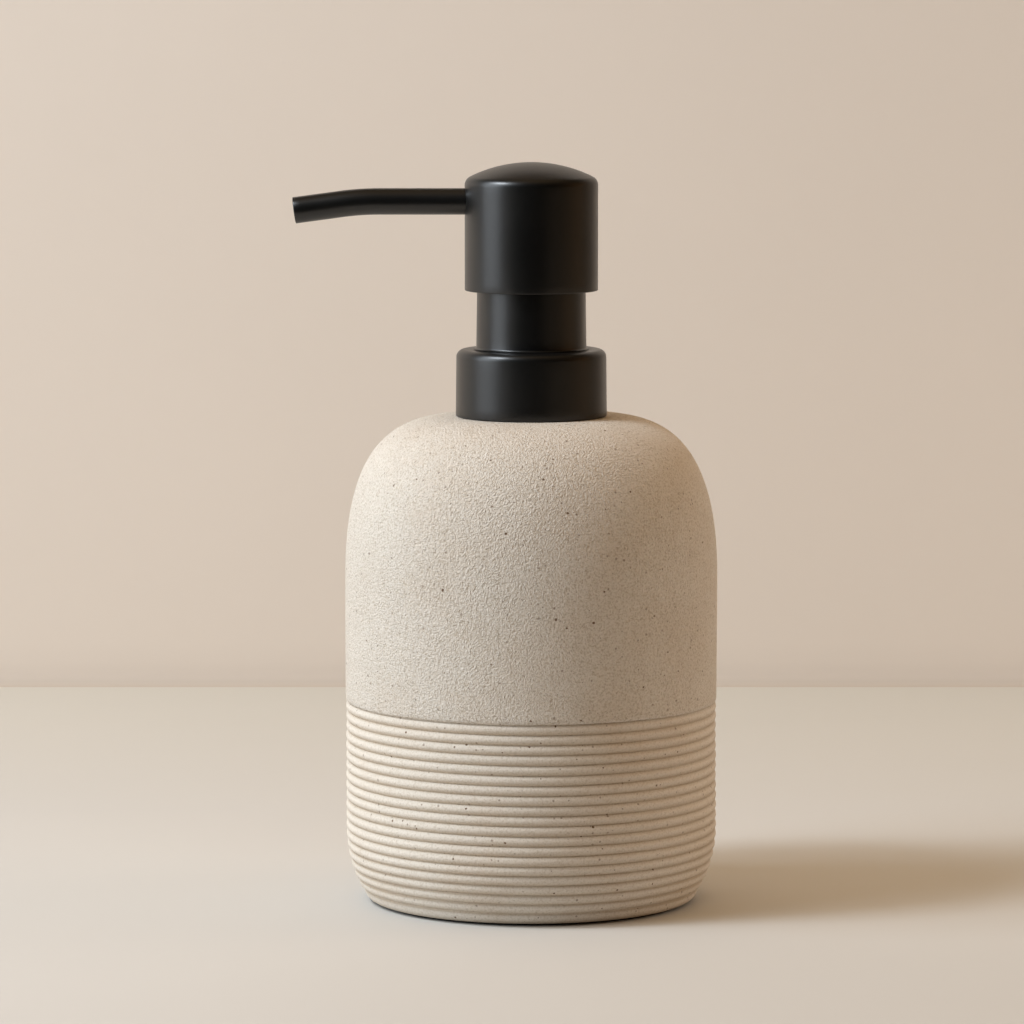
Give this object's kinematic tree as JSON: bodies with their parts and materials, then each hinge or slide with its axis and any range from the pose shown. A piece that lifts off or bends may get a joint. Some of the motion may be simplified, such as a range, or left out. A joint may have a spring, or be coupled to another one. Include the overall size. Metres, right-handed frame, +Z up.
{
  "type": "soap pump dispenser",
  "caption": "Ribbed stoneware bottle with a metal-clad lotion pump: press head, swivelling spout, screw collar.",
  "frame": {"origin": "centre of the face that the dispenser stands on, on the pump's axis", "axes": "+Z up along the pump's axis, the spout points along -X"},
  "size_m": [0.0911, 0.08, 0.159],
  "materials": {
    "bottle": "matte sandy stoneware with fine brown specks",
    "base_pad": "soft dark pad",
    "neck_insert": "natural polypropylene",
    "neck_gasket": "soft foam rubber",
    "closure": "moulded black polypropylene",
    "collar_shell": "satin black coating on steel",
    "housing": "natural polypropylene",
    "ball_cage": "natural polypropylene",
    "chaplet": "moulded black polypropylene",
    "guide_sleeve": "satin black coating on steel",
    "dip_tube": "natural polypropylene",
    "inlet_ball": "polished stainless ball",
    "spring": "drawn stainless wire",
    "piston": "soft polyethylene",
    "piston_rod": "natural polypropylene",
    "stem": "moulded black polypropylene",
    "outlet_ball": "polished stainless ball",
    "head_core": "moulded black polypropylene",
    "head_shell": "satin black coating on steel",
    "spout_tube": "satin black coating on steel"
  },
  "bodies": {
    "bottle_body": {"bottle": "bottle", "base_pad": "base_pad", "neck_insert": "neck_insert"},
    "gasket": {"neck_gasket": "neck_gasket"},
    "pump_frame": {"housing": "housing", "ball_cage": "ball_cage", "chaplet": "chaplet", "guide_sleeve": "guide_sleeve", "dip_tube": "dip_tube", "spring": "spring"},
    "collar": {"closure": "closure", "collar_shell": "collar_shell"},
    "plunger": {"piston": "piston", "piston_rod": "piston_rod"},
    "head": {"stem": "stem", "head_core": "head_core", "head_shell": "head_shell", "spout_tube": "spout_tube"},
    "outlet_valve": {"outlet_ball": "outlet_ball"},
    "inlet_valve": {"inlet_ball": "inlet_ball"}
  },
  "joints": [
    {"name": "pump_lift", "type": "slide", "parent": "bottle_body", "child": "gasket", "axis": [0, 0, 1], "range_m": [0, 0.115]},
    {"name": "thread_rise", "type": "slide", "parent": "gasket", "child": "pump_frame", "axis": [0, 0, 1], "range_m": [0, 0.00635]},
    {"name": "collar_turn", "type": "hinge", "parent": "pump_frame", "child": "collar", "pos_m": [0, 0, 0.11], "axis": [0, 0, 1], "range_deg": [0, 540]},
    {"name": "head_press", "type": "slide", "parent": "pump_frame", "child": "plunger", "axis": [0, 0, -1], "range_m": [0, 0.0115], "stiffness_N_per_m": 400, "springref_m": -0.01, "deforming": ["spring"]},
    {"name": "spout_swivel", "type": "hinge", "parent": "plunger", "child": "head", "pos_m": [0, 0, 0.12], "axis": [0, 0, 1], "continuous": true},
    {"name": "outlet_ball_lift", "type": "slide", "parent": "head", "child": "outlet_valve", "axis": [0, 0, 1], "range_m": [0, 0.0022]},
    {"name": "inlet_ball_lift", "type": "slide", "parent": "pump_frame", "child": "inlet_valve", "axis": [0, 0, 1], "range_m": [0, 0.002]}
  ],
  "couplings": [
    {"joint": "collar_turn", "follows": "thread_rise", "rad_per_m": 1484.2}
  ]
}
